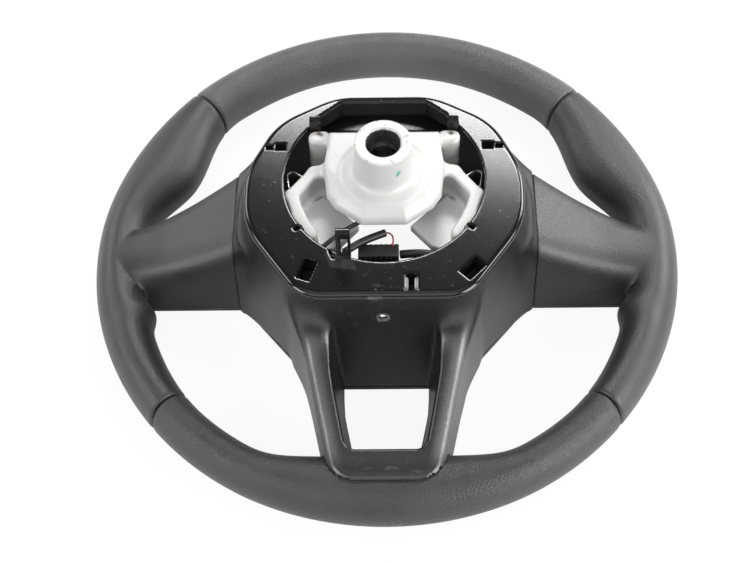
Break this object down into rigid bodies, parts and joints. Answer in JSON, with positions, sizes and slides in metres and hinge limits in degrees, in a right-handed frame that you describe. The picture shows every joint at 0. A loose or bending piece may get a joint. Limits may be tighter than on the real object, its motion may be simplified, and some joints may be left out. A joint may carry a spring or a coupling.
{
  "type": "car steering wheel",
  "caption": "Leather-trimmed car steering wheel without its airbag, with side spokes, a windowed lower spoke, a ring-shaped rear cover and a splined light-metal hub.",
  "frame": {"origin": "on the steering axis, in the plane of the front face of the rim, on which the wheel lies", "axes": "+Z along the steering axis towards the column, +Y to twelve o'clock, +X to the right as seen from the column side with twelve o'clock up"},
  "size_m": [0.372, 0.372, 0.134],
  "materials": {
    "leather": "black full-grain leather, fine grain, slightly polished by use",
    "foam": "dark moulded foam",
    "casting": "as-cast light metal, pale and matt",
    "hub_steel": "machined steel",
    "cover_plastic": "black moulded plastic, fine spark-eroded texture",
    "bezel_plastic": "black moulded plastic",
    "key_plastic": "black moulded plastic",
    "switch_plastic": "black moulded plastic",
    "circuit_board": "green coated board",
    "screw_steel": "plated steel",
    "spring_steel": "bright spring wire",
    "lead_black": "black sleeving",
    "lead_red": "red insulation",
    "plug_plastic": "black moulded plastic"
  },
  "bodies": {
    "wheel": {"leather_top": "leather", "leather_bottom": "leather", "leather_left": "leather", "leather_right": "leather", "rim_foam": "foam", "armature": "casting", "rim_core": "casting", "hub_insert": "hub_steel", "rear_cover": "cover_plastic", "front_bezel": "bezel_plastic", "cover_screws": "screw_steel", "switch_screws": "screw_steel", "switch_housing_left": "switch_plastic", "switch_board_left": "circuit_board", "retaining_spring_left": "spring_steel", "switch_housing_right": "switch_plastic", "switch_board_right": "circuit_board", "retaining_spring_right": "spring_steel", "connector": "plug_plastic", "lead_sheath": "lead_black", "red_wire": "lead_red", "harness_left": "lead_black", "harness_right": "lead_black"},
    "key_left_lower": {"key_left_lower": "key_plastic"},
    "key_left_middle": {"key_left_middle": "key_plastic"},
    "key_left_upper": {"key_left_upper": "key_plastic"},
    "key_right_lower": {"key_right_lower": "key_plastic"},
    "key_right_middle": {"key_right_middle": "key_plastic"},
    "key_right_upper": {"key_right_upper": "key_plastic"}
  },
  "joints": [
    {"name": "key_left_lower_press", "type": "slide", "parent": "wheel", "child": "key_left_lower", "axis": [0, 0, 1], "range_m": [0, 0.001], "stiffness_N_per_m": 1500},
    {"name": "key_left_middle_press", "type": "slide", "parent": "wheel", "child": "key_left_middle", "axis": [0, 0, 1], "range_m": [0, 0.001], "stiffness_N_per_m": 1500},
    {"name": "key_left_upper_press", "type": "slide", "parent": "wheel", "child": "key_left_upper", "axis": [0, 0, 1], "range_m": [0, 0.001], "stiffness_N_per_m": 1500},
    {"name": "key_right_lower_press", "type": "slide", "parent": "wheel", "child": "key_right_lower", "axis": [0, 0, 1], "range_m": [0, 0.001], "stiffness_N_per_m": 1500},
    {"name": "key_right_middle_press", "type": "slide", "parent": "wheel", "child": "key_right_middle", "axis": [0, 0, 1], "range_m": [0, 0.001], "stiffness_N_per_m": 1500},
    {"name": "key_right_upper_press", "type": "slide", "parent": "wheel", "child": "key_right_upper", "axis": [0, 0, 1], "range_m": [0, 0.001], "stiffness_N_per_m": 1500}
  ]
}
